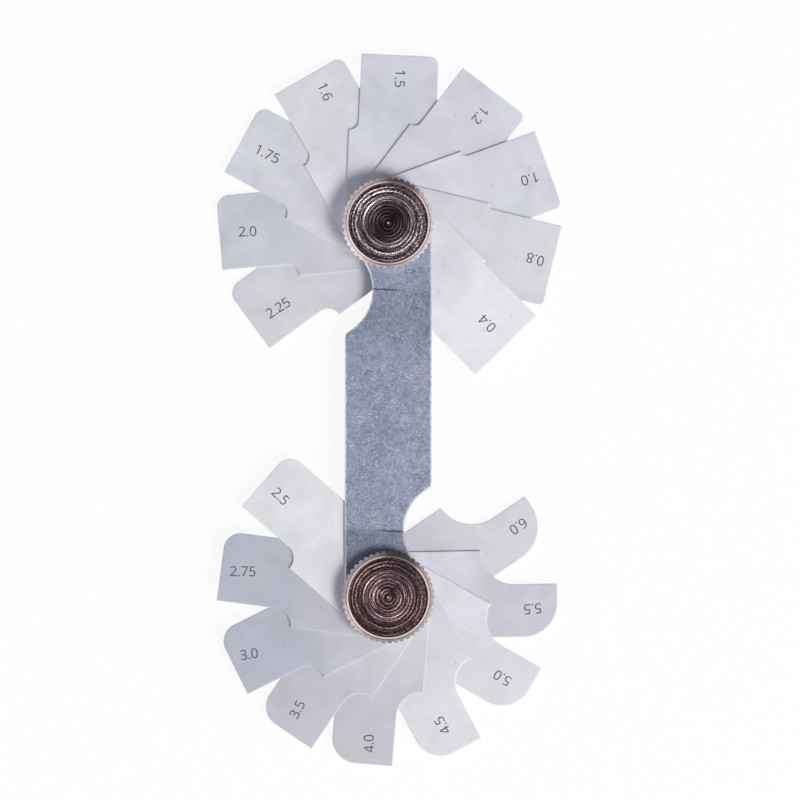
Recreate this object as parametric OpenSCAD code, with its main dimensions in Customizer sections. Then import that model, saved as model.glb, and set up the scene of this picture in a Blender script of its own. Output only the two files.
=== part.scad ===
// Radius gauge: two fans of thin steel leaves that fold between two plates.
// Each fan turns on a riveted bush and is locked by a knurled screw.
// Origin: middle of the back plate's outer face, halfway between the bushes.
// +Y runs along the holder to the finer fan, +Z points at the knobs. Millimetres.

/* [Holder] */
// Distance between the two pivots
pivot_spacing = 60; // [58:1:90]
// Width of the holder and of every leaf
blank_w = 14; // [12:0.5:18]
// Thickness of each plate
plate_t = 1; // [0.8:0.05:1.6]
// Bevel round the outer face of each plate
plate_bevel = 0.25; // [0.05:0.05:0.4]
// Radius of the thumb scoops
scoop_r = 7.8; // [6.5:0.1:9]
// Distance from a pivot to the middle of its scoop, along the holder
scoop_y = 10.6; // [9.5:0.1:12.5]
// Radius of the corner where a scoop runs out into the long edge
scoop_corner_r = 1.5; // [0.8:0.1:2.5]

/* [Leaves] */
// Thickness of one leaf
leaf_t = 0.5; // [0.3:0.05:0.8]
// Reach of a leaf, from its pivot to its tip
leaf_reach = 27.3; // [26:0.1:27.6]
// Distance from the pivot to the shoulder where the head begins
shoulder_x = 15; // [13:0.1:17]

/* [Pivots] */
// Outer diameter of the bush that the leaves turn on
bush_d = 6; // [5:0.1:8]
// Diameter of the bush's neck in the back plate
neck_d = 4.8; // [4:0.1:5]
// Diameter of the neck where it is riveted flush with the back plate
rivet_d = 5.8; // [5.2:0.1:7]
// Depth of the riveted flare
rivet_depth = 0.5; // [0.2:0.05:0.7]
// Diameter of the screw that holds the knob
screw_d = 3; // [2:0.1:3]
// Distance from the screw's end to the back plate's outer face
screw_end_z = 0.5; // [0.2:0.1:2]
// Part of the front plate's thickness that the bush leaves free for clamping
clamp_room = 0.4; // [0.1:0.05:0.6]

/* [Knobs] */
// Diameter over the teeth of the knurl
knob_d = 14.8; // [13:0.1:18]
// Height of the knob above the front plate
knob_h = 5; // [4:0.1:8]
// Number of teeth round the knurl
knob_teeth = 45; // [24:1:60]
// Width of the flat on top of each tooth
tooth_land = 0.4; // [0.1:0.05:0.5]
// Depth of the knurl
tooth_depth = 0.35; // [0.1:0.05:0.6]
// Diameter of the seat under the knob
seat_d = 11; // [8:0.1:12]
// Height of the seat
seat_h = 0.5; // [0.2:0.1:1]
// Width of the bevel from the knurl in to the step round the face
knob_bevel = 0.7; // [0.5:0.05:1]
// Rise of that bevel
knob_bevel_h = 0.5; // [0.3:0.05:1]
// Rise of the step round the face
rim_step = 0.25; // [0.1:0.05:0.5]
// Chamfer on the edge of the face
rim_chamfer = 0.3; // [0.05:0.05:0.4]
// Chamfer under the knurl
knob_chamfer = 0.4; // [0.1:0.05:0.6]
// Distance between the rings left by turning the face
ring_pitch = 0.55; // [0.4:0.05:1]
// Depth of those rings
ring_depth = 0.03; // [0.01:0.01:0.15]
// Radius of the centre mark
centre_r = 0.32; // [0.2:0.02:0.6]
// Radius of the centre mark's floor
centre_floor_r = 0.12; // [0.06:0.02:0.18]
// Depth of the centre mark
centre_depth = 0.3; // [0.1:0.05:0.5]

/* [Fits] */
// Radial clearance of a leaf's hole on its bush
hole_clear = 0.08; // [0.02:0.01:0.1]
// Radial clearance of the screw in the bush
screw_clear = 0.05; // [0.02:0.01:0.1]
// Gap between one leaf and the next, and between the stack and the plates
leaf_gap = 0.06; // [0.03:0.01:0.12]
// Gap between a knob's seat and the front plate
seat_gap = 0.03; // [0.02:0.01:0.1]

/* [Hidden] */
// Each leaf: name, fillet radius, and the way it points in degrees from +X.
// The first leaf of a fan lies next to the front plate.
UPPER_LEAVES = [
    ["leaf_r0_4", 0.4, -45.5],
    ["leaf_r0_8", 0.8, -13.5],
    ["leaf_r1_0", 1.0, 20],
    ["leaf_r1_2", 1.2, 52.5],
    ["leaf_r1_5", 1.5, 87.5],
    ["leaf_r1_6", 1.6, 120],
    ["leaf_r1_75", 1.75, 151.5],
    ["leaf_r2_0", 2.0, 185],
    ["leaf_r2_25", 2.25, 216.5]
];
LOWER_LEAVES = [
    ["leaf_r2_5", 2.5, 139],
    ["leaf_r2_75", 2.75, 172.5],
    ["leaf_r3_0", 3.0, 206.5],
    ["leaf_r3_5", 3.5, 236],
    ["leaf_r4_0", 4.0, 265],
    ["leaf_r4_5", 4.5, 298],
    ["leaf_r5_0", 5.0, 330.5],
    ["leaf_r5_5", 5.5, 361],
    ["leaf_r6_0", 6.0, 394]
];
HARDWARE = ["front_plate", "back_plate", "upper_bush", "lower_bush", "upper_knob", "lower_knob"];

blank_r = blank_w / 2;
pivot_y = pivot_spacing / 2;
leaf_step = leaf_t + leaf_gap;
stack_h = len(UPPER_LEAVES) * leaf_step + leaf_gap;
front_z = plate_t + stack_h;
top_z = front_z + plate_t;
bush_top_z = top_z - clamp_room;
// A scoop touches the round end of the plate, so the two flow into each other
scoop_x = sqrt(pow(blank_r + scoop_r, 2) - pow(scoop_y, 2));
// The corner arc touches both the scoop and the long edge
corner_x = blank_r - scoop_corner_r;
corner_y = scoop_y + sqrt(pow(scoop_r + scoop_corner_r, 2) - pow(scoop_x - corner_x, 2));
knob_r = knob_d / 2;
root_r = knob_r - tooth_depth;
rim_r = knob_r - knob_bevel;
face_r = rim_r - rim_chamfer;
ring_count = round((face_r - centre_r) / ring_pitch);
ring_w = (face_r - centre_r) / ring_count;
// Overshoot of a cut past the face that it leaves
over = 1;
steel = [0.82, 0.83, 0.87];
plate_steel = [0.58, 0.61, 0.70];
bright_steel = [0.75, 0.75, 0.76];
dark_steel = [0.27, 0.22, 0.22];

// Puts its children on the upper pivot, or turned half round on the lower one
module at_upper() {
    translate([0, pivot_y, 0]) children();
}

module at_lower() {
    translate([0, -pivot_y, 0]) children();
}

module at_both_ends() {
    for (turn = [0, 180]) rotate(turn) at_upper() children();
}

// Upright round as thick as a plate, whose radius changes by flare over the bevel.
// Past bottom and top it carries on by extra at the same slope.
module bevelled_round(r, flare, extra = 0) {
    slope = flare / plate_bevel;
    rotate_extrude($fn = 96)
        polygon([
            [0, -extra],
            [r, -extra],
            [r, plate_t - plate_bevel],
            [r + slope * (plate_bevel + extra), plate_t + extra],
            [0, plate_t + extra]
        ]);
}

// Straight bar of the plate, bevelled along both long edges
module bevelled_bar() {
    rotate([90, 0, 0])
        linear_extrude(pivot_spacing, center = true)
            polygon([
                [-blank_r, 0],
                [blank_r, 0],
                [blank_r, plate_t - plate_bevel],
                [blank_r - plate_bevel, plate_t],
                [-blank_r + plate_bevel, plate_t],
                [-blank_r, plate_t - plate_bevel]
            ]);
}

module cut_prism(points) {
    translate([0, 0, -over])
        linear_extrude(plate_t + 2 * over)
            polygon(points);
}

// What a thumb scoop takes from the plate, seen from the upper pivot
module scoop_cut() {
    outside_x = -blank_w;
    scoop_at = [-scoop_x, -scoop_y];
    corner_at = [-corner_x, -corner_y];
    translate(scoop_at) bevelled_round(scoop_r, plate_bevel, over);
    difference() {
        cut_prism([[0, 0], scoop_at, [outside_x, -scoop_y], [outside_x, 0]]);
        bevelled_round(blank_r, -plate_bevel, over);
    }
    difference() {
        cut_prism([scoop_at, corner_at, [outside_x, -corner_y], [outside_x, -scoop_y]]);
        translate(corner_at) bevelled_round(scoop_corner_r, -plate_bevel, over);
    }
}

// A plate lying on its inner face, with its outer face up
module plate_blank() {
    difference() {
        union() {
            bevelled_bar();
            at_both_ends() bevelled_round(blank_r, -plate_bevel);
        }
        at_both_ends() scoop_cut();
    }
}

module front_plate() {
    color(plate_steel)
        translate([0, 0, front_z])
            difference() {
                plate_blank();
                at_both_ends()
                    translate([0, 0, -over])
                        cylinder(h = plate_t + 2 * over, d = bush_d + 2 * hole_clear, $fn = 64);
            }
}

// Space that a bush's neck and its riveted flare fill in the back plate
module rivet_form(extra = 0) {
    flare = (rivet_d - neck_d) / 2 / rivet_depth;
    rotate_extrude($fn = 64)
        polygon([
            [0, -extra],
            [rivet_d / 2 + flare * extra, -extra],
            [neck_d / 2, rivet_depth],
            [neck_d / 2, plate_t + extra],
            [0, plate_t + extra]
        ]);
}

module back_plate() {
    color(plate_steel)
        difference() {
            translate([0, 0, plate_t]) mirror([0, 0, 1]) plate_blank();
            at_both_ends() rivet_form(over);
        }
}

// Threaded bush: flush rivet in the back plate, shoulder on it, bearing up into the front plate
module bush() {
    color(bright_steel)
        difference() {
            union() {
                rivet_form();
                translate([0, 0, plate_t])
                    cylinder(h = bush_top_z - plate_t, d = bush_d, $fn = 64);
            }
            translate([0, 0, -over])
                cylinder(h = bush_top_z + 2 * over, d = screw_d + 2 * screw_clear, $fn = 64);
        }
}

module upper_bush() {
    at_upper() bush();
}

module lower_bush() {
    at_lower() bush();
}

// Point at a radius and an angle
function polar(r, a) = [r * cos(a), r * sin(a)];

// Outline of the knurl: the two ends of each tooth's flat, then the bottom of the groove after it
function knurl_points() = [
    for (i = [0 : knob_teeth - 1])
        let (middle = i * 360 / knob_teeth, half_land = asin(tooth_land / knob_d))
            each [
                polar(knob_r, middle - half_land),
                polar(knob_r, middle + half_land),
                polar(root_r, middle + 180 / knob_teeth)
            ]
];

// Turned face from its edge to the centre mark: a shallow groove in the middle of each ring
function face_points() = [
    for (i = [0 : ring_count - 1])
        let (r = face_r - i * ring_w)
            each [[r, knob_h], [r - ring_w / 2, knob_h - ring_depth]]
];

// Turned form of the head. It stands outside the teeth by spare_r, so the knurl alone makes the rim.
module turned_knob() {
    spare_r = 0.5;
    bevel_slope = knob_bevel_h / knob_bevel;
    chamfer_z = knob_h - rim_chamfer;
    step_z = chamfer_z - rim_step;
    rotate_extrude($fn = 96)
        polygon(concat(
            [
                [0, 0],
                [seat_d / 2, 0],
                [seat_d / 2, seat_h],
                [knob_r - knob_chamfer, seat_h],
                [knob_r + spare_r, seat_h + knob_chamfer + spare_r],
                [knob_r + spare_r, step_z - knob_bevel_h - spare_r * bevel_slope],
                [rim_r, step_z],
                [rim_r, chamfer_z]
            ],
            face_points(),
            [
                [centre_r, knob_h],
                [centre_floor_r, knob_h - centre_depth],
                [0, knob_h - centre_depth]
            ]
        ));
}

// Knurled screw: toothed knob with its seat on the front plate and its screw in the bush
module knob() {
    color(dark_steel)
        union() {
            translate([0, 0, top_z + seat_gap])
                intersection() {
                    turned_knob();
                    linear_extrude(knob_h) polygon(knurl_points());
                }
            translate([0, 0, screw_end_z])
                cylinder(h = top_z + seat_gap + knob_h / 2 - screw_end_z, d = screw_d, $fn = 64);
        }
}

module upper_knob() {
    at_upper() knob();
}

module lower_knob() {
    at_lower() knob();
}

// Leaf pointing along +X from its pivot. Its left side carries the hollow radius,
// a quarter circle round a point on the blank's edge, and its right corner the round one.
module leaf_outline(radius) {
    neck_side = blank_r - radius;
    difference() {
        union() {
            circle(r = blank_r, $fn = 96);
            translate([0, -blank_r]) square([leaf_reach, blank_w]);
        }
        circle(d = bush_d + 2 * hole_clear, $fn = 64);
        translate([shoulder_x + radius, blank_r]) circle(r = radius, $fn = 96);
        translate([shoulder_x + radius, neck_side]) square([leaf_reach, radius + over]);
        difference() {
            translate([leaf_reach - radius, -blank_r - over]) square([radius + over, radius + over]);
            translate([leaf_reach - radius, -neck_side]) circle(r = radius, $fn = 96);
        }
    }
}

// The leaf at a place in its fan's list, counted down from the front plate
module leaf(fan, place) {
    radius = fan[place][1];
    points_to = fan[place][2];
    color(steel)
        translate([0, 0, front_z - (place + 1) * leaf_step])
            rotate(points_to)
                linear_extrude(leaf_t)
                    leaf_outline(radius);
}

front_plate();
back_plate();
upper_bush();
lower_bush();
upper_knob();
lower_knob();
for (place = [0 : len(UPPER_LEAVES) - 1])
    at_upper() leaf(UPPER_LEAVES, place);
for (place = [0 : len(LOWER_LEAVES) - 1])
    at_lower() leaf(LOWER_LEAVES, place);
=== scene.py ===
import math

import bpy
from mathutils import Matrix, Vector


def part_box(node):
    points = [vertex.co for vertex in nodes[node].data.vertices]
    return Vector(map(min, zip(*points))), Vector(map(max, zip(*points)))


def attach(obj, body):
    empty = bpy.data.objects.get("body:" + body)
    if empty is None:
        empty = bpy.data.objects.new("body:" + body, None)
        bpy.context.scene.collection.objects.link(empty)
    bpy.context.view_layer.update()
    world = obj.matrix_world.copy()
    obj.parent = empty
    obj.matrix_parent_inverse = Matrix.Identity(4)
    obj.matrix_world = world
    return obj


mm = 0.001

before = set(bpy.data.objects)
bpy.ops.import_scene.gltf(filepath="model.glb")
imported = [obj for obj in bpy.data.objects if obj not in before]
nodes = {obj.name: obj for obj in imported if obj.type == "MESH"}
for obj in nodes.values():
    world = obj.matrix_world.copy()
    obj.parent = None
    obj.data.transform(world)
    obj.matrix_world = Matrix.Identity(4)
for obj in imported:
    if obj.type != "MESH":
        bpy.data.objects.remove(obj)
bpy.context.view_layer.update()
bpy.ops.object.select_all(action="DESELECT")
print("frame loaded:", len(nodes), "nodes")


# The sizes that the finishes follow are read from the frame, to a hundredth of a millimetre, because a
# faceted circle is a little narrower than the round one.
def boxOf(name):
    return [[round(part, 5) for part in corner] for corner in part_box(name)]


def middleOf(name):
    (left, front, _), (right, back, _) = boxOf(name)
    return ((left + right) / 2, (front + back) / 2, 0)


upperPivot, lowerPivot = middleOf("upper_bush"), middleOf("lower_bush")
(plateLeft, plateFront, _), (plateRight, plateBack, _) = boxOf("front_plate")
knobTop = boxOf("upper_knob")[1][2]


# Small helpers for node trees. A band is the two values between which a pattern fades in.
def put(tree, kind, x, y, **settings):
    node = tree.nodes.new("ShaderNode" + kind)
    node.location = (x, y)
    for name, value in settings.items():
        setattr(node, name, value)
    return node


def feed(tree, socket, value):
    if isinstance(value, bpy.types.NodeSocket):
        tree.links.new(value, socket)
    elif value is not None:
        isColour = socket.type == "RGBA" and len(value) == 3
        socket.default_value = (*value, 1) if isColour else value


def maths(tree, x, y, operation, *values):
    node = put(tree, "Math", x, y, operation=operation)
    for socket, value in zip(node.inputs, values):
        feed(tree, socket, value)
    return node.outputs[0]


def vectorMaths(tree, x, y, operation, *values):
    node = put(tree, "VectorMath", x, y, operation=operation)
    for socket, value in zip(node.inputs, values):
        feed(tree, socket, value)
    return node.outputs["Value" if operation in ("LENGTH", "DOT_PRODUCT") else "Vector"]


def split(tree, x, y, vector):
    node = put(tree, "SeparateXYZ", x, y)
    feed(tree, node.inputs[0], vector)
    return node.outputs[0], node.outputs[1], node.outputs[2]


def combine(tree, x, y, *parts):
    node = put(tree, "CombineXYZ", x, y)
    for socket, part in zip(node.inputs, parts):
        feed(tree, socket, part)
    return node.outputs[0]


def length(tree, x, y, a, b):
    return vectorMaths(tree, x, y, "LENGTH", combine(tree, x - 150, y, a, b))


def spread(tree, x, y, value, low, high, outLow=0.0, outHigh=1.0, smooth=False):
    node = put(tree, "MapRange", x, y, interpolation_type="SMOOTHSTEP" if smooth else "LINEAR")
    for socket, given in zip(node.inputs, (value, low, high, outLow, outHigh)):
        feed(tree, socket, given)
    return node.outputs[0]


def swing(tree, x, y, pattern, amount, base=0.0):
    # A pattern runs from 0 to 1, so its middle leaves the base as it is.
    offMiddle = maths(tree, x - 150, y, "SUBTRACT", pattern, 0.5)
    return maths(tree, x, y, "MULTIPLY_ADD", offMiddle, amount, base)


def blendColours(tree, x, y, factor, first, second, way="MIX"):
    node = put(tree, "Mix", x, y, data_type="RGBA", blend_type=way)
    for index, value in ((0, factor), (6, first), (7, second)):
        feed(tree, node.inputs[index], value)
    return node.outputs[2]


def ramp(tree, x, y, value, stops):
    node = put(tree, "ValToRGB", x, y)
    feed(tree, node.inputs[0], value)
    points = node.color_ramp.elements
    while len(points) < len(stops):
        points.new(0.5)
    for point, (position, bright) in zip(points, stops):
        point.position, point.color = position, (bright, bright, bright, 1)
    return node.outputs[0]


def noise(tree, x, y, vector, scale, detail=2.0, rough=0.5, warp=0.0, seed=None):
    node = put(tree, "TexNoise", x, y, noise_dimensions="3D" if seed is None else "4D")
    given = {"Vector": vector, "Scale": scale, "Detail": detail, "Roughness": rough, "Distortion": warp}
    for name, value in given.items():
        feed(tree, node.inputs[name], value)
    if seed is not None:
        feed(tree, node.inputs["W"], seed)
    return node.outputs[0]


def bumped(tree, x, y, height, distance, normal=None):
    node = put(tree, "Bump", x, y)
    feed(tree, node.inputs["Distance"], distance)
    feed(tree, node.inputs["Height"], height)
    feed(tree, node.inputs["Normal"], normal)
    return node.outputs[0]


def newGroup(name, inputs, outputs):
    group = bpy.data.node_groups.new(name, "ShaderNodeTree")
    for label, kind, value in inputs:
        socket = group.interface.new_socket(label, in_out="INPUT", socket_type="NodeSocket" + kind)
        if value is not None:
            socket.default_value = value
    for label, kind in outputs:
        group.interface.new_socket(label, in_out="OUTPUT", socket_type="NodeSocket" + kind)
    start = group.nodes.new("NodeGroupInput")
    end = group.nodes.new("NodeGroupOutput")
    start.location, end.location = (-1400, 0), (900, 0)
    return group, start.outputs, end.inputs


def useGroup(tree, x, y, group, **values):
    node = put(tree, "Group", x, y, node_tree=group)
    for label, value in values.items():
        feed(tree, node.inputs[label], value)
    return node.outputs


def newMaterial(name):
    material = bpy.data.materials.new(name)
    material.use_nodes = True
    tree = material.node_tree
    return material, tree, tree.nodes["Principled BSDF"]


def setShader(tree, shader, **values):
    for label, value in values.items():
        feed(tree, shader.inputs[label.replace("_", " ")], value)


def objectPlace(tree, x, y, centre=(0, 0, 0), turn=0.0):
    # Object coordinates measured from a centre, turned so that X runs along the piece.
    place = put(tree, "TexCoord", x - 200, y)
    centred = put(tree, "Mapping", x, y, vector_type="TEXTURE")
    feed(tree, centred.inputs["Location"], centre)
    feed(tree, centred.inputs["Rotation"], (0, 0, math.radians(turn)))
    feed(tree, centred.inputs["Vector"], place.outputs["Object"])
    return centred.outputs[0]


# Ground steel: fine lines along X, soft clouds where it was handled, specks, dents and a few scratches.
groundForm = {
    "lineStretch": (260, 9000, 260), "lines": {"scale": 1.0, "detail": 3.0, "rough": 0.6},
    "clouds": {"scale": 170.0, "detail": 4.0, "rough": 0.55, "warp": 0.6}, "roughSwing": 0.12,
    "specks": {"scale": 5200.0, "detail": 1.0}, "speckHeight": 0.5,
    "dents": {"scale": 760.0}, "dentBand": (0.67, 0.75), "dentShade": -0.12,
    "scratchTurn": 0.7, "scratchStretch": (330, 4200, 330), "scratchBand": (0.70, 0.80),
    "scratches": {"scale": 1.0, "detail": 1.0, "warp": 0.6},
    # Oil and handling turn the steel a little greener in some places, more lilac in others.
    "hues": {"scale": 120.0, "warp": 0.8}, "hueSeed": 31.0, "hueBand": (0.38, 0.62),
    "lilac": (1.0, 0.987, 1.01), "green": (0.99, 1.003, 0.99),
}


def buildGroundGrain():
    group, given, out = newGroup(
        "groundGrain",
        [("Place", "Vector", None), ("Seed", "Float", 0.0), ("Tint", "Color", (0.7, 0.7, 0.7, 1)),
         ("Grain", "Float", 0.1), ("Clouds", "Float", 0.2), ("Specks", "Float", 0.1),
         ("Scratches", "Float", 0.1), ("Roughness", "Float", 0.4)],
        [("Color", "Color"), ("Roughness", "Float"), ("Height", "Float")],
    )
    form, place, seed = groundForm, given["Place"], given["Seed"]
    drawn = vectorMaths(group, -1100, 300, "MULTIPLY", place, form["lineStretch"])
    lines = noise(group, -900, 300, drawn, **form["lines"])
    clouds = noise(group, -900, 0, place, **form["clouds"], seed=seed)
    specks = noise(group, -900, -300, place, **form["specks"])
    dents = noise(group, -900, -500, place, **form["dents"], seed=seed)
    dented = spread(group, -700, -500, dents, *form["dentBand"])
    # Each leaf's scratches run their own way.
    askew = put(group, "VectorRotate", -1300, -900, rotation_type="Z_AXIS")
    feed(group, askew.inputs["Vector"], place)
    feed(group, askew.inputs["Angle"], maths(group, -1500, -900, "MULTIPLY", seed, form["scratchTurn"]))
    threads = vectorMaths(group, -1100, -900, "MULTIPLY", askew.outputs[0], form["scratchStretch"])
    threads = noise(group, -900, -900, threads, **form["scratches"], seed=seed)
    scratched = spread(group, -700, -900, threads, *form["scratchBand"])

    shade = maths(group, -400, 200, "ADD", swing(group, -550, 300, lines, given["Grain"], 1.0),
                  swing(group, -550, 0, clouds, given["Clouds"]))
    speckShade = swing(group, -550, -300, specks, given["Specks"])
    speckShade = maths(group, -400, -400, "MULTIPLY_ADD", dented, form["dentShade"], speckShade)
    shade = maths(group, -200, 100, "ADD", shade, speckShade)
    shade = maths(group, -100, 100, "ADD", shade,
                  maths(group, -500, -900, "MULTIPLY", scratched, given["Scratches"]))
    tone = put(group, "CombineColor", 0, 0)
    for socket in tone.inputs[:3]:
        feed(group, socket, shade)
    hues = noise(group, -900, -700, place, **form["hues"],
                 seed=maths(group, -1100, -700, "ADD", seed, form["hueSeed"]))
    hues = spread(group, -200, 400, hues, *form["hueBand"])
    hue = blendColours(group, 0, 400, hues, form["lilac"], form["green"])
    hued = blendColours(group, 200, 400, 1.0, given["Tint"], hue, "MULTIPLY")
    feed(group, out["Color"], blendColours(group, 400, 200, 1.0, hued, tone.outputs[0], "MULTIPLY"))
    rough = swing(group, 0, -200, clouds, form["roughSwing"], given["Roughness"])
    feed(group, out["Roughness"], swing(group, 200, -200, lines, form["roughSwing"], rough))
    feed(group, out["Height"], maths(group, 400, -300, "ADD", lines,
                                     maths(group, 200, -400, "MULTIPLY", specks, form["speckHeight"])))
    return group


# How near a point is to a leaf's outline, from its marked radius: 1 on the edge, 0 further in than Width.
leafForm = {"half": 7.0 * mm, "reach": 27.3 * mm, "shoulder": 15.0 * mm}


def buildLeafRim():
    group, given, out = newGroup(
        "leafRim",
        [("Place", "Vector", None), ("Radius", "Float", 0.003), ("Width", "Float", 0.0002)],
        [("Edge", "Float")],
    )
    half, reach, shoulder = leafForm["half"], leafForm["reach"], leafForm["shoulder"]
    x, y, _ = split(group, -1200, 0, given["Place"])
    radius = given["Radius"]
    # Right side and tip, with the round corner between them.
    pastTip = maths(group, -900, 300, "SUBTRACT", x, maths(group, -1000, 300, "SUBTRACT", reach, radius))
    pastSide = maths(group, -900, 150, "SUBTRACT", maths(group, -1000, 150, "MULTIPLY", y, -1.0),
                     maths(group, -1000, 50, "SUBTRACT", half, radius))
    corner = length(group, -400, 250, maths(group, -700, 300, "MAXIMUM", pastTip, 0.0),
                    maths(group, -700, 150, "MAXIMUM", pastSide, 0.0))
    inside = maths(group, -600, 50, "MINIMUM", maths(group, -700, 50, "MAXIMUM", pastTip, pastSide), 0.0)
    fromRound = maths(group, -300, 250, "SUBTRACT", radius, corner)
    fromRound = maths(group, -200, 250, "SUBTRACT", fromRound, inside)
    # Left side: the full width up to the shoulder, then the hollow and the narrower head.
    pastHollow = maths(group, -900, -200, "SUBTRACT", x, maths(group, -1000, -200, "ADD", radius, shoulder))
    hollow = length(group, -400, -250, maths(group, -700, -200, "MINIMUM", pastHollow, 0.0),
                    maths(group, -700, -350, "SUBTRACT", y, half))
    fromHollow = maths(group, -200, -200, "SUBTRACT", hollow, radius)
    fromLeft = maths(group, -200, -400, "SUBTRACT", half, y)
    nearest = maths(group, 0, 100, "MINIMUM", fromRound, fromHollow)
    nearest = maths(group, 100, 0, "MINIMUM", nearest, fromLeft)
    feed(group, out["Edge"], spread(group, 400, 0, nearest, given["Width"], 0.0))
    return group


# Tumbled sheet: cloudy blue-grey skin, short worm-like marks, bright flecks and dark pits.
skinForm = {
    "clouds": {"scale": 170.0, "detail": 3.0, "rough": 0.6, "warp": 0.5}, "cloudShare": 0.27,
    "worms": {"scale": 1100.0, "detail": 4.0, "rough": 0.68, "warp": 1.2}, "wormShare": 0.73,
    "bodyBand": (0.38, 0.62), "roughSwing": 0.3, "wormHeight": 0.5,
    "grains": {"scale": 4200.0, "detail": 2.0, "rough": 0.55, "warp": 0.5},
    "fleckBand": (0.565, 0.67), "fleckShare": 0.8, "pitBand": (0.43, 0.33), "pitShare": 0.6,
    # The flecks come in flocks, and the skin between them turns from blue to a warmer grey.
    "flocks": {"scale": 420.0, "detail": 3.0, "rough": 0.6, "warp": 0.8}, "flockBand": (0.38, 0.62),
    "flockShare": (0.2, 1.1), "hues": {"scale": 300.0}, "hueBand": (0.36, 0.64),
    "warm": (1.035, 0.985, 0.99), "blue": (0.965, 1.01, 1.005),
}


def buildTumbledSkin():
    group, given, out = newGroup(
        "tumbledSkin",
        [("Place", "Vector", None), ("Light", "Color", (0.4, 0.45, 0.6, 1)),
         ("Dark", "Color", (0.2, 0.25, 0.35, 1)), ("Spark", "Color", (0.7, 0.75, 0.9, 1)),
         ("Roughness", "Float", 0.45)],
        [("Color", "Color"), ("Roughness", "Float"), ("Height", "Float")],
    )
    form, place = skinForm, given["Place"]
    clouds = noise(group, -900, 400, place, **form["clouds"])
    worms = noise(group, -900, 100, place, **form["worms"])
    grains = noise(group, -900, -200, place, **form["grains"])
    flocks = noise(group, -900, -500, place, **form["flocks"])
    hues = noise(group, -900, 700, place, **form["hues"])
    body = maths(group, -600, 200, "ADD", maths(group, -700, 400, "MULTIPLY", clouds, form["cloudShare"]),
                 maths(group, -700, 100, "MULTIPLY", worms, form["wormShare"]))
    body = spread(group, -400, 200, body, *form["bodyBand"])
    skin = blendColours(group, -200, 200, body, given["Dark"], given["Light"])
    hues = spread(group, -600, 600, hues, *form["hueBand"])
    hue = blendColours(group, -400, 600, hues, form["warm"], form["blue"])
    skin = blendColours(group, -100, 300, 1.0, skin, hue, "MULTIPLY")
    flecks = spread(group, -600, -100, grains, *form["fleckBand"], 0.0, form["fleckShare"], smooth=True)
    flecks = maths(group, -400, -100, "MULTIPLY", flecks,
                   spread(group, -600, -500, flocks, *form["flockBand"], *form["flockShare"]))
    pits = spread(group, -400, -300, grains, *form["pitBand"], 0.0, form["pitShare"], smooth=True)
    skin = blendColours(group, 0, 200, flecks, skin, given["Spark"])
    feed(group, out["Color"], blendColours(group, 200, 200, pits, skin, given["Dark"]))
    feed(group, out["Roughness"], swing(group, 200, -100, worms, form["roughSwing"], given["Roughness"]))
    feed(group, out["Height"], maths(group, 200, -300, "ADD", grains,
                                     maths(group, 0, -300, "MULTIPLY", worms, form["wormHeight"])))
    return group


# Where the plate is worn bright along its outline, partly a painted highlight of the rounded edge, and the
# crease left across the neck at each scoop.
# Both ends of the plate are the same half a turn apart, so one end's sums serve for both.
plateForm = {
    "radius": (plateRight - plateLeft) / 2, "pivot": upperPivot[1],
    "scoopX": -10.33 * mm, "scoopY": 19.4 * mm, "scoopRadius": 7.8 * mm,
    "ragged": {"scale": 1400.0, "detail": 3.0, "rough": 0.6}, "raggedBand": (0.3, 0.7),
    "raggedWear": (0.55, 1.45),
    "fullWear": 0.35,  # share of the worn width that is bright all over
    "creaseFrom": -2.6 * mm, "creaseTo": 2.8 * mm, "startFade": 0.3 * mm, "endFade": 2.2 * mm,
    "creaseWander": 0.5 * mm, "creaseSlope": 0.06,
}


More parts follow.
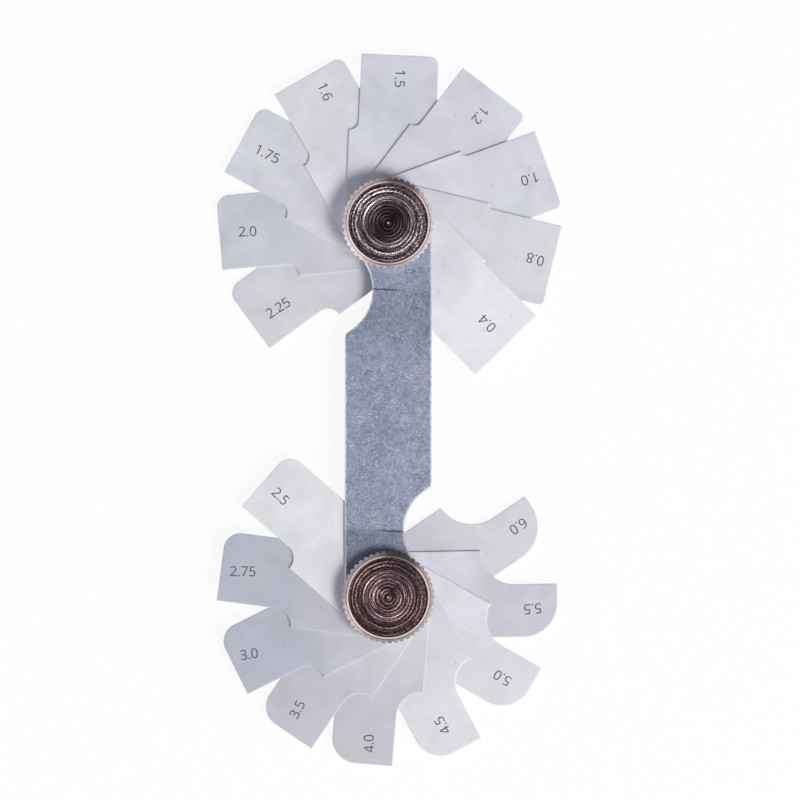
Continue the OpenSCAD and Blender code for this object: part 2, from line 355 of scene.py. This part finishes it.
def buildPlateMarks():
    group, given, out = newGroup(
        "plateMarks",
        [("Place", "Vector", None), ("Wear", "Float", 0.00035), ("Crease", "Float", 0.00011)],
        [("Edge", "Float"), ("Crease", "Float")],
    )
    form = plateForm
    right, up, _ = split(group, -1200, 0, given["Place"])
    x = maths(group, -900, 200, "MULTIPLY", right, maths(group, -1000, 200, "SIGN", up))
    y = maths(group, -900, 0, "ABSOLUTE", up)
    past = maths(group, -700, -100, "MAXIMUM", maths(group, -800, -100, "SUBTRACT", y, form["pivot"]), 0.0)
    fromSide = maths(group, -300, 0, "SUBTRACT", form["radius"], length(group, -450, 0, x, past))
    fromScoop = length(group, -450, 300, maths(group, -750, 350, "SUBTRACT", x, form["scoopX"]),
                       maths(group, -750, 250, "SUBTRACT", y, form["scoopY"]))
    fromScoop = maths(group, -300, 300, "SUBTRACT", fromScoop, form["scoopRadius"])
    fromEdge = maths(group, -100, 150, "MINIMUM", fromSide, fromScoop)
    ragged = noise(group, -300, -300, given["Place"], **form["ragged"])
    wear = maths(group, 0, 0, "MULTIPLY", given["Wear"],
                 spread(group, -100, -300, ragged, *form["raggedBand"], *form["raggedWear"]))
    allBright = maths(group, 150, 0, "MULTIPLY", wear, form["fullWear"])
    feed(group, out["Edge"], spread(group, 300, 150, fromEdge, wear, allBright, smooth=True))
    # The crease wanders and runs a little downhill from the scoop, and dies away across the neck.
    sag = maths(group, -50, -800, "ADD", swing(group, -150, -600, ragged, form["creaseWander"]),
                maths(group, -150, -800, "MULTIPLY", x, form["creaseSlope"]))
    line = maths(group, 0, -600, "ADD", maths(group, -50, -700, "SUBTRACT", y, form["scoopY"]), sag)
    offLine = maths(group, 100, -600, "ABSOLUTE", line)
    across = spread(group, 200, -600, offLine, given["Crease"], 0.0, smooth=True)
    start, end = form["creaseFrom"], form["creaseTo"]
    pastStart = spread(group, 100, -800, x, start, start + form["startFade"])
    beforeEnd = spread(group, 100, -1000, x, end, end - form["endFade"])
    along = maths(group, 200, -900, "MULTIPLY", pastStart, beforeEnd)
    feed(group, out["Crease"], maths(group, 400, -600, "MULTIPLY", across, along))
    return group


# Lathe marks: rings of uneven depth round the axis, here and there broken off.
latheForm = {
    "rings": {"scale": 1.0, "detail": 4.0, "rough": 0.7}, "ringBand": (0.42, 0.66), "ringPower": 2.0,
    "unround": 0.7,  # how much one ring changes on its way round
    "chips": {"scale": 3900.0, "detail": 3.0, "rough": 0.6}, "chipHeight": 0.5,
}


def buildLatheRings():
    group, given, out = newGroup(
        "latheRings",
        [("Place", "Vector", None), ("Pitch", "Float", 0.00015), ("Breaks", "Float", 0.4)],
        [("Rings", "Float"), ("Radius", "Float"), ("Height", "Float")],
    )
    form = latheForm
    x, y, _ = split(group, -1200, 0, given["Place"])
    radius = length(group, -900, 100, x, y)
    angle = maths(group, -900, -200, "ARCTAN2", y, x)
    turns = maths(group, -700, 100, "DIVIDE", radius, given["Pitch"])
    sine, cosine = maths(group, -800, -200, "SINE", angle), maths(group, -800, -400, "COSINE", angle)
    coil = combine(group, -500, 0, turns, maths(group, -700, -200, "MULTIPLY", sine, form["unround"]),
                   maths(group, -700, -400, "MULTIPLY", cosine, form["unround"]))
    rings = noise(group, -300, 100, coil, **form["rings"])
    chips = noise(group, -300, -200, given["Place"], **form["chips"])
    chipped = swing(group, -100, -200, chips, given["Breaks"])
    broken = spread(group, 200, 0, maths(group, 0, 0, "ADD", rings, chipped), *form["ringBand"])
    feed(group, out["Rings"], maths(group, 300, 0, "POWER", broken, form["ringPower"]))
    feed(group, out["Radius"], radius)
    feed(group, out["Height"], maths(group, 0, -200, "MULTIPLY_ADD", chipped, form["chipHeight"], rings))
    return group


groundGrain = buildGroundGrain()
leafRim = buildLeafRim()
tumbledSkin = buildTumbledSkin()
plateMarks = buildPlateMarks()
latheRings = buildLatheRings()
print("shader groups built")


# Each leaf's pivot, the way it points at rest in degrees, its shade of steel, which also paints how
# brightly its grain reflects the light the way it points, and how much lighter or darker than the rest of
# its fan it is near the pivot, where the leaves rub on each other and painted light and shade fall round
# the knob.
leafSheet = {
    "leaf_r0_4": (upperPivot, -45.5, (0.778, 0.795, 0.796), 1.0),
    "leaf_r0_8": (upperPivot, -13.5, (0.692, 0.709, 0.722), 1.0),
    "leaf_r1_0": (upperPivot, 20.0, (0.688, 0.710, 0.736), 1.13),
    "leaf_r1_2": (upperPivot, 52.5, (0.699, 0.716, 0.748), 1.0),
    "leaf_r1_5": (upperPivot, 87.5, (0.684, 0.706, 0.739), 1.06),
    "leaf_r1_6": (upperPivot, 120.0, (0.726, 0.742, 0.748), 1.25),
    "leaf_r1_75": (upperPivot, 151.5, (0.706, 0.732, 0.745), 1.07),
    "leaf_r2_0": (upperPivot, 185.0, (0.630, 0.661, 0.683), 0.92),
    "leaf_r2_25": (upperPivot, 216.5, (0.674, 0.696, 0.705), 1.0),
    "leaf_r2_5": (lowerPivot, 139.0, (0.737, 0.754, 0.746), 1.15),
    "leaf_r2_75": (lowerPivot, 172.5, (0.480, 0.516, 0.562), 0.86),
    "leaf_r3_0": (lowerPivot, 206.5, (0.475, 0.501, 0.545), 0.87),
    "leaf_r3_5": (lowerPivot, 236.0, (0.533, 0.536, 0.567), 0.94),
    "leaf_r4_0": (lowerPivot, 265.0, (0.537, 0.544, 0.569), 0.92),
    "leaf_r4_5": (lowerPivot, 298.0, (0.671, 0.677, 0.684), 0.92),
    "leaf_r5_0": (lowerPivot, 330.5, (0.662, 0.668, 0.683), 1.12),
    "leaf_r5_5": (lowerPivot, 361.0, (0.561, 0.578, 0.600), 1.18),
    "leaf_r6_0": (lowerPivot, 394.0, (0.639, 0.651, 0.664), 1.0),
}
leafFinish = {
    "grain": 0.08, "clouds": 0.42, "specks": 0.09, "scratches": 0.08, "roughness": 0.56, "metallic": 0.95,
    "grainDepth": 0.0016 * mm, "seedStep": 1.7,
    # The blanking press rounds each edge over a little; the edge is also lightened in the colour, partly
    # wear and partly a painted highlight of the rounded edge.
    "edgeWidth": 0.2 * mm, "edgeDrop": 0.012 * mm, "edgeCurve": 2.0, "edgeWear": 0.03, "edge": (1, 1, 1),
    # Near the pivot the leaves rub on each other and come closer to one tone; each fan's tone there also
    # paints the light and shade round the knob.
    "rubbedAndLitUpper": (0.70, 0.71, 0.745), "rubbedAndLitLower": (0.65, 0.66, 0.685),
    "rubbedAndLitFrom": 17.5 * mm, "rubbedAndLitTo": 10 * mm, "rubbedAndLitShare": 0.7,
}


def leafSteel(name, number, pivot, degrees, toneAndSheen, rubbedAndLitTone):
    finish = leafFinish
    material, tree, steel = newMaterial("leafSteel" + name[4:])
    place = objectPlace(tree, -900, 0, pivot, degrees)
    along, _, _ = split(tree, -900, 300, place)
    # Near the pivot the tone is blended towards the fan's tone: wear, with painted light and shade round
    # the knob.
    rubbedAndLit = spread(tree, -750, 300, along, finish["rubbedAndLitFrom"], finish["rubbedAndLitTo"],
                    0.0, finish["rubbedAndLitShare"], smooth=True)
    fanTone = finish["rubbedAndLitUpper"] if pivot == upperPivot else finish["rubbedAndLitLower"]
    # The leaf's tone holds a painted sheen for how brightly it reflects the light the way it points.
    tone = blendColours(tree, -700, 200, rubbedAndLit, toneAndSheen, [part * rubbedAndLitTone for part in fanTone])
    skin = useGroup(tree, -600, 0, groundGrain, Place=place, Seed=number * finish["seedStep"], Tint=tone,
                    Grain=finish["grain"], Clouds=finish["clouds"], Specks=finish["specks"],
                    Scratches=finish["scratches"], Roughness=finish["roughness"])
    radius = float(name[6:].replace("_", ".")) * mm
    rim = useGroup(tree, -600, -400, leafRim, Place=place, Radius=radius, Width=finish["edgeWidth"])
    edge = rim["Edge"]
    # Wear and painted highlight: the edge is lightened a little in the colour.
    wornAndHighlit = maths(tree, -400, 0, "MULTIPLY", edge, finish["edgeWear"])
    grain = bumped(tree, -400, -300, skin["Height"], finish["grainDepth"])
    fall = maths(tree, -500, -500, "POWER", edge, finish["edgeCurve"])
    fall = maths(tree, -400, -500, "MULTIPLY", fall, -1.0)
    setShader(tree, steel, Base_Color=blendColours(tree, -200, 100, wornAndHighlit, skin["Color"], finish["edge"]),
              Roughness=skin["Roughness"], Metallic=finish["metallic"],
              Normal=bumped(tree, -200, -300, fall, finish["edgeDrop"], grain))
    return material


plateFinish = {
    "light": (0.375, 0.425, 0.53), "dark": (0.19, 0.222, 0.305), "spark": (0.66, 0.71, 0.82),
    "roughness": 0.5, "metallic": 0.9, "grainDepth": 0.006 * mm,
    "edge": (0.80, 0.81, 0.86), "wear": 0.35 * mm, "wearAndHighlightShare": 0.85, "wornRoughness": -0.1,
    # Painted shade: the crease's line is darkened in the colour.
    "creaseShade": (0.04, 0.045, 0.07), "creaseWidth": 0.19 * mm, "creaseShadeShare": 0.95, "creaseDepth": 3.0,
    # Painted shade along the sheet from the lower end to the upper one, darkest beyond the lower crease.
    "length": plateBack - plateFront,
    "paintedEndShade": ((0.0, 0.66), (0.232, 0.66), (0.244, 0.93), (0.4, 0.97), (0.52, 1.0), (0.64, 0.93),
               (0.7, 0.80), (0.745, 0.80), (0.77, 0.92), (0.85, 0.95), (1.0, 0.9)),
}


def plateSteel(name):
    finish = plateFinish
    material, tree, steel = newMaterial(name)
    place = objectPlace(tree, -900, 0)
    skin = useGroup(tree, -700, 0, tumbledSkin, Place=place, Light=finish["light"], Dark=finish["dark"],
                    Spark=finish["spark"], Roughness=finish["roughness"])
    traces = useGroup(tree, -700, -400, plateMarks, Place=place, Wear=finish["wear"],
                      Crease=finish["creaseWidth"])
    # Wear and painted highlight: the outline is lightened in the colour.
    wornAndHighlit = maths(tree, -600, 200, "MULTIPLY", traces["Edge"], finish["wearAndHighlightShare"])
    colour = blendColours(tree, -450, 200, wornAndHighlit, skin["Color"], finish["edge"])
    # Painted shade along the plate, darkest beyond the lower crease.
    _, up, _ = split(tree, -900, 500, place)
    way = maths(tree, -800, 500, "MULTIPLY_ADD", up, 1 / finish["length"], 0.5)
    paintedEndShade = ramp(tree, -700, 500, way, finish["paintedEndShade"])
    colour = blendColours(tree, -350, 300, 1.0, colour, paintedEndShade, "MULTIPLY")
    # Painted shade: the crease's line is darkened in the colour, over its real dip in the bump.
    creaseShaded = maths(tree, -400, 0, "MULTIPLY", traces["Crease"], finish["creaseShadeShare"])
    dip = maths(tree, -500, -400, "MULTIPLY", traces["Crease"], finish["creaseDepth"])
    height = maths(tree, -400, -300, "SUBTRACT", skin["Height"], dip)
    rough = maths(tree, -250, -100, "MULTIPLY_ADD", traces["Edge"], finish["wornRoughness"],
                  skin["Roughness"])
    setShader(tree, steel, Base_Color=blendColours(tree, -250, 200, creaseShaded, colour, finish["creaseShade"]),
              Roughness=rough, Metallic=finish["metallic"],
              Normal=bumped(tree, -200, -300, height, finish["grainDepth"]))
    return material


knobFinish = {
    "faceRadius": 6.4 * mm, "rimRadius": 6.7 * mm, "groove": 6.92 * mm,
    "topStarts": knobTop - 0.63 * mm, "chamferStarts": knobTop - 0.31 * mm,
    "roughness": 0.34, "metallic": 1.0, "ringPitch": 0.16 * mm, "ringDepth": 0.024 * mm,
    "dark": (0.021, 0.0120, 0.0122), "glint": (0.95, 0.91, 0.90), "glintBand": (0.42, 0.95),
    "pip": (0.95, 0.93, 0.90), "pipRadius": 0.16 * mm, "pipRoughness": 0.5,
    "edge": (0.76, 0.64, 0.59), "rim": (0.78, 0.66, 0.62), "rimStain": (0.52, 0.43, 0.40),
    "stains": {"scale": 1500.0, "detail": 3.0, "rough": 0.6}, "stainBand": (0.4, 0.7),
    # Painted shade in the corner of the step, most on the two sides that this way points along.
    "grooveShade": (0.03, 0.02, 0.02), "grooveShadeWay": (0.17, 0.985, 0), "grooveShadeBand": (0.86, 0.99),
    "grooveShadeReach": 0.22 * mm,
    # Painted shade on one side of the rim, the one that this way points to, which faces away from the
    # light.
    "paintedRimShade": (0.10, 0.075, 0.075), "paintedRimShadeWay": (0.34, 0.94, 0), "paintedRimShadeBand": (0.84, 0.99),
    "paintedRimShadeShare": 0.75,
    # Grain that breaks the rings up, from the middle to the edge of the face.
    "chips": ((0.0, 0.4), (0.25, 0.16), (0.7, 0.16), (0.8, 0.7), (1.0, 0.7)),
}
# The colour under the blacking, how bright the knurl is, and how far the face is rubbed through, from its
# middle to its edge, a ramp that also paints the face's reflection, darkest in the middle.
knobWear = {
    "upper": {"bare": (0.96, 0.80, 0.82), "knurl": 1.05,
              "rubbedAndLit": ((0.0, 0.0), (0.2, 0.04), (0.4, 0.13), (0.52, 0.36), (0.62, 1.0), (0.8, 1.0),
                         (0.85, 0.52), (0.95, 0.45), (1.0, 0.05))},
    "lower": {"bare": (0.90, 0.60, 0.625), "knurl": 0.74,
              "rubbedAndLit": ((0.0, 0.1), (0.25, 0.34), (0.4, 0.6), (0.62, 0.55), (0.74, 0.3), (0.85, 0.24),
                         (0.96, 0.22), (1.0, 0.05))},
}


def knobSteel(end, pivot):
    finish, wear = knobFinish, knobWear[end]
    material, tree, steel = newMaterial("knobSteel_" + end)
    place = objectPlace(tree, -1900, 0, pivot)
    x, y, height = split(tree, -1800, 300, place)
    outward = maths(tree, -1500, 300, "DIVIDE", length(tree, -1600, 300, x, y), finish["faceRadius"])
    lathe = useGroup(tree, -1100, 0, latheRings, Place=place, Pitch=finish["ringPitch"],
                     Breaks=ramp(tree, -1400, 0, outward, finish["chips"]))
    onTop = maths(tree, -900, -400, "GREATER_THAN", height, finish["topStarts"])
    onFace = maths(tree, -700, -200, "MULTIPLY", onTop,
                   maths(tree, -800, -200, "LESS_THAN", lathe["Radius"], finish["faceRadius"]))
    # Wear and painted reflection: the rub-through ramp keeps the middle of the face dark.
    rubbedAndLit = ramp(tree, -900, 400, outward, wear["rubbedAndLit"])
    bare = maths(tree, -500, 200, "MULTIPLY", lathe["Rings"], rubbedAndLit)
    face = blendColours(tree, -300, 200, bare, finish["dark"], wear["bare"])
    glint = spread(tree, -400, 400, bare, *finish["glintBand"])
    face = blendColours(tree, -250, 300, glint, face, finish["glint"])
    inPip = maths(tree, -500, 500, "LESS_THAN", lathe["Radius"], finish["pipRadius"])
    face = blendColours(tree, -200, 300, inPip, face, finish["pip"])

    stains = noise(tree, -800, -400, place, **finish["stains"])
    stains = spread(tree, -600, -400, stains, *finish["stainBand"])
    rim = blendColours(tree, -500, -100, stains, finish["rim"], finish["rimStain"])
    rim = blendColours(tree, -450, -50, 1.0, rim, [wear["knurl"]] * 3, "MULTIPLY")
    # Painted shade: the corner of the step is darkened in the colour, most on the two sides along one way.
    grooveShadeSide = vectorMaths(tree, -1000, -700, "DOT_PRODUCT", place, finish["grooveShadeWay"])
    grooveShadeSide = maths(tree, -900, -700, "ABSOLUTE", grooveShadeSide)
    grooveShadeSide = maths(tree, -850, -700, "DIVIDE", grooveShadeSide, lathe["Radius"])
    grooveShadeAmount = spread(tree, -750, -700, grooveShadeSide, *finish["grooveShadeBand"], smooth=True)
    reach = maths(tree, -700, -600, "MULTIPLY_ADD", grooveShadeAmount, finish["grooveShadeReach"], finish["groove"])
    nearStep = spread(tree, -600, -600, lathe["Radius"], reach, finish["rimRadius"], smooth=True)
    grooveShadeMask = maths(tree, -450, -600, "MULTIPLY", nearStep, onTop)
    rim = blendColours(tree, -350, -100, grooveShadeMask, rim, finish["grooveShade"])
    onChamfer = maths(tree, -500, -800, "GREATER_THAN", height, finish["chamferStarts"])
    rim = blendColours(tree, -200, -100, onChamfer, rim, finish["edge"])
    # Painted shade: the rim is darkened on the side this way points to.
    paintedRimShadeSide = vectorMaths(tree, -1000, -900, "DOT_PRODUCT", place, finish["paintedRimShadeWay"])
    paintedRimShadeSide = maths(tree, -900, -900, "DIVIDE", paintedRimShadeSide, lathe["Radius"])
    paintedRimShade = spread(tree, -800, -900, paintedRimShadeSide, *finish["paintedRimShadeBand"],
                    0.0, finish["paintedRimShadeShare"], smooth=True)
    rim = blendColours(tree, -150, -100, paintedRimShade, rim, finish["paintedRimShade"])

    rings = maths(tree, -500, -600, "MULTIPLY", lathe["Height"], onFace)
    rough = maths(tree, -300, -300, "MULTIPLY_ADD", inPip, finish["pipRoughness"], finish["roughness"])
    setShader(tree, steel, Base_Color=blendColours(tree, -100, 100, onFace, rim, face),
              Roughness=rough, Metallic=finish["metallic"],
              Normal=bumped(tree, -300, -600, rings, finish["ringDepth"]))
    return material


bushFinish = {
    "dark": (0.45, 0.45, 0.47), "light": (0.72, 0.72, 0.74), "roughness": 0.33, "metallic": 1.0,
    "ringPitch": 0.12 * mm, "ringDepth": 0.004 * mm, "breaks": 0.2,
}


def bushSteel(name, pivot):
    finish = bushFinish
    material, tree, steel = newMaterial(name)
    lathe = useGroup(tree, -900, 0, latheRings, Place=objectPlace(tree, -1100, 0, pivot),
                     Pitch=finish["ringPitch"], Breaks=finish["breaks"])
    ringed = blendColours(tree, -500, 100, lathe["Rings"], finish["dark"], finish["light"])
    setShader(tree, steel, Base_Color=ringed, Roughness=finish["roughness"], Metallic=finish["metallic"],
              Normal=bumped(tree, -300, -300, lathe["Height"], finish["ringDepth"]))
    return material


def finishNode(name, material):
    mesh = nodes[name].data
    for slot in range(len(mesh.materials)):
        mesh.materials[slot] = material


for number, (name, (pivot, degrees, toneAndSheen, rubbedAndLitTone)) in enumerate(leafSheet.items()):
    finishNode(name, leafSteel(name, number, pivot, degrees, toneAndSheen, rubbedAndLitTone))
for name in ("front_plate", "back_plate"):
    finishNode(name, plateSteel("plateSteel_" + name))
for end, pivot in (("upper", upperPivot), ("lower", lowerPivot)):
    finishNode(end + "_knob", knobSteel(end, pivot))
    finishNode(end + "_bush", bushSteel("bushSteel_" + end, pivot))
print("materials on all nodes")


# The radius in millimetres etched on each leaf, reading from the tip towards the pivot.
# The numbers say where its middle lies along and across the leaf, in mm from the pivot, and how far it is
# tilted, in degrees.
marks = {
    "leaf_r0_4": ("0.4", 22.58, 0.12, -0.5),
    "leaf_r0_8": ("0.8", 24.36, -0.04, -1.8),
    "leaf_r1_0": ("1.0", 23.88, -1.00, -4.5),
    "leaf_r1_2": ("1.2", 22.89, -1.10, -1.4),
    "leaf_r1_5": ("1.5", 23.52, -0.86, 0.1),
    "leaf_r1_6": ("1.6", 23.58, -1.89, -6.0),
    "leaf_r1_75": ("1.75", 22.55, -0.68, 1.7),
    "leaf_r2_0": ("2.0", 22.74, -0.86, -3.6),
    "leaf_r2_25": ("2.25", 22.33, 0.24, -3.3),
    "leaf_r2_5": ("2.5", 23.67, -0.81, -3.8),
    "leaf_r2_75": ("2.75", 23.74, -0.95, 7.2),
    "leaf_r3_0": ("3.0", 24.24, -1.67, -17.7),
    "leaf_r3_5": ("3.5", 23.35, -1.97, 5.6),
    "leaf_r4_0": ("4.0", 23.99, -1.04, 6.6),
    "leaf_r4_5": ("4.5", 22.58, -2.12, 2.3),
    "leaf_r5_0": ("5.0", 22.54, -2.48, -2.4),
    "leaf_r5_5": ("5.5", 23.27, -2.52, 3.6),
    "leaf_r6_0": ("6.0", 23.69, -2.48, 0.4),
}
markForm = {"tall": 1.63 * mm, "thick": 0.01 * mm, "curveSteps": 4}
inkFinish = {
    "patches": {"scale": 3000.0, "rough": 0.6}, "dark": (0.05, 0.05, 0.062), "light": (0.11, 0.11, 0.135),
    "roughBand": (0.3, 0.7), "roughness": (0.45, 0.7), "metallic": 0.3,
}


def etchedInk():
    finish = inkFinish
    material, tree, ink = newMaterial("etchedInk")
    patches = noise(tree, -500, 0, objectPlace(tree, -700, 0), **finish["patches"])
    setShader(tree, ink, Base_Color=blendColours(tree, -200, 0, patches, finish["dark"], finish["light"]),
              Roughness=spread(tree, -200, -200, patches, *finish["roughBand"], *finish["roughness"]),
              Metallic=finish["metallic"])
    return material


def plainDigits(label):
    # Blender's own font has a plainer set of digits, from this sign on.
    plainZero = 0x1D7E2
    return "".join(chr(plainZero + int(sign)) if sign.isdigit() else sign for sign in label)


ink = etchedInk()
for leafName, (label, along, across, tilt) in marks.items():
    pivot, degrees = leafSheet[leafName][:2]
    bpy.ops.object.select_all(action="DESELECT")
    bpy.ops.object.text_add()
    mark = bpy.context.object
    mark.name = "mark_" + leafName[5:]
    mark.data.body = plainDigits(label)
    mark.data.align_x, mark.data.align_y = "CENTER", "CENTER"
    mark.data.resolution_u = markForm["curveSteps"]
    bpy.ops.object.convert(target="MESH")
    # Scaled to the digits' height, centred, then turned and laid on the leaf.
    points = [vertex.co for vertex in mark.data.vertices]
    low = Vector([min(point[axis] for point in points) for axis in range(3)])
    high = Vector([max(point[axis] for point in points) for axis in range(3)])
    size = markForm["tall"] / (high.y - low.y)
    turn = Matrix.Rotation(math.radians(degrees), 4, "Z")
    spot = Vector(pivot) + turn @ Vector((along * mm, across * mm, 0))
    spot.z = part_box(leafName)[1].z + markForm["thick"]
    upright = Matrix.Rotation(math.radians(180 + tilt), 4, "Z")
    lay = Matrix.Translation(spot) @ turn @ upright @ Matrix.Scale(size, 4)
    mark.data.transform(lay @ Matrix.Translation(-(low + high) / 2))
    body = mark.modifiers.new("body", "SOLIDIFY")
    body.thickness, body.offset = markForm["thick"], -1
    bpy.ops.object.modifier_apply(modifier="body")
    mark.data.materials.clear()
    mark.data.materials.append(ink)
    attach(mark, leafName)
print("marks laid on", len(marks), "leaves")


# Floor: white to the eye and to the metal, but it keeps the shadow.
floorLook = {
    "size": 14, "drop": 0.05 * mm, "colour": (0.9, 0.9, 0.9), "roughness": 0.9,
    "white": 1.02, "whiteShare": 0.88,
}
bpy.ops.object.select_all(action="DESELECT")
bpy.ops.mesh.primitive_plane_add(size=floorLook["size"], location=(0, 0, -floorLook["drop"]))
floor = bpy.context.object
floor.name = "floor"
material, tree, paint = newMaterial("floorPaper")
setShader(tree, paint, Base_Color=floorLook["colour"], Roughness=floorLook["roughness"],
          Specular_IOR_Level=0)
path = put(tree, "LightPath", -800, 300)
seen = maths(tree, -600, 300, "MAXIMUM", path.outputs["Is Camera Ray"], path.outputs["Is Glossy Ray"])
seen = maths(tree, -450, 300, "MAXIMUM", seen, path.outputs["Is Transmission Ray"])
white = put(tree, "Emission", -300, 100)
feed(tree, white.inputs["Strength"], floorLook["white"])
both = put(tree, "MixShader", 300, 200)
share = maths(tree, -300, 300, "MULTIPLY", seen, floorLook["whiteShare"])
for socket, source in zip(both.inputs, (share, paint.outputs[0], white.outputs[0])):
    feed(tree, socket, source)
feed(tree, tree.nodes["Material Output"].inputs["Surface"], both.outputs[0])
floor.data.materials.append(material)

# Studio: white round the horizon, walls that are darker behind and in front, a greyer ceiling that comes
# lower on the left, and a dark flag behind the object, a little to the right.
studio = {
    "sides": 1.0, "sideBand": (0.0, 0.7), "sideCurve": 2.0, "behind": 0.4, "inFront": 0.65,
    "wallTint": (0.87, 0.87, 1.0), "horizon": (1, 1, 1), "horizonBand": (0.06, 0.2),
    "flagDegrees": 75, "flagBand": (0.84, 0.9), "flagLeaves": 0.2,
    "ceiling": 0.14, "ceilingTint": (0.64, 0.65, 1.0), "ceilingBand": (0.5, 0.85), "ceilingTilt": 0.2,
}
world = bpy.data.worlds.new("studio")
bpy.context.scene.world = world
world.use_nodes = True
tree = world.node_tree
sky = tree.nodes["Background"]
x, y, z = split(tree, -1100, 0, put(tree, "TexCoord", -1300, 0).outputs["Generated"])
sideways = maths(tree, -900, 200, "POWER", maths(tree, -1000, 200, "ABSOLUTE", x), studio["sideCurve"])
lengthways = spread(tree, -900, 0, y, -1.0, 1.0, studio["inFront"], studio["behind"])
wall = spread(tree, -700, 100, sideways, *studio["sideBand"], lengthways, studio["sides"])
flagWay = math.radians(studio["flagDegrees"])
towardFlag = maths(tree, -900, -200, "ADD", maths(tree, -1000, -150, "MULTIPLY", x, math.cos(flagWay)),
                   maths(tree, -1000, -250, "MULTIPLY", y, math.sin(flagWay)))
flagged = spread(tree, -700, -200, towardFlag, *studio["flagBand"], 1.0, studio["flagLeaves"], smooth=True)
wall = maths(tree, -600, 200, "MULTIPLY", wall, flagged)
aboveHorizon = spread(tree, -700, -100, z, *studio["horizonBand"], smooth=True)
wall = spread(tree, -500, 0, aboveHorizon, 0.0, 1.0, 1.0, wall)
tilted = maths(tree, -700, -300, "MULTIPLY_ADD", x, -studio["ceilingTilt"], z)
overhead = spread(tree, -500, -200, tilted, *studio["ceilingBand"], smooth=True)
feed(tree, sky.inputs["Strength"], spread(tree, -300, 0, overhead, 0.0, 1.0, wall, studio["ceiling"]))
wallColour = blendColours(tree, -450, 250, aboveHorizon, studio["horizon"], studio["wallTint"])
feed(tree, sky.inputs["Color"], blendColours(tree, -300, 200, overhead, wallColour, studio["ceilingTint"]))

# Each panel's place in metres, the side of its square, watts and colour.
panels = {
    "keyPanel": ((0.515, -0.36, 1.56), 0.42, 10.8, (1.0, 0.97, 0.95)),
    "lowPanel": ((0.76, -0.50, 0.92), 0.5, 2.4, (1.0, 0.97, 0.95)),
    "fillPanel": ((-0.55, -0.50, 1.30), 0.50, 2.0, (1.0, 0.975, 0.96)),
    "sidePanel": ((-1.10, -0.75, 0.48), 1.1, 2.4, (1.0, 0.96, 0.93)),
}
for name, (spot, side, watts, colour) in panels.items():
    bpy.ops.object.light_add(type="AREA", location=spot)
    lamp = bpy.context.object
    lamp.name = name
    lamp.data.shape, lamp.data.size = "SQUARE", side
    lamp.data.energy, lamp.data.color = watts, colour
    lamp.rotation_euler = (-Vector(spot)).to_track_quat("-Z", "Y").to_euler()
print("floor, studio and panels placed")

# The camera looks straight down from far off, as the photograph does.
cameraView = {
    "centre": (1.89 * mm, 1.63 * mm), "distance": 1.2, "level": 4 * mm, "field": 129.03 * mm,
    "clip": (0.1, 20),
}
eye = (*cameraView["centre"], cameraView["level"] + cameraView["distance"])
bpy.ops.object.camera_add(location=eye, rotation=(0, 0, 0))
camera = bpy.context.object
camera.name = "camera"
camera.data.lens = camera.data.sensor_width * cameraView["distance"] / cameraView["field"]
camera.data.clip_start, camera.data.clip_end = cameraView["clip"]
bpy.context.scene.camera = camera
bpy.context.scene.view_settings.view_transform = "Standard"
print("camera set, lens", round(camera.data.lens, 1), "mm")
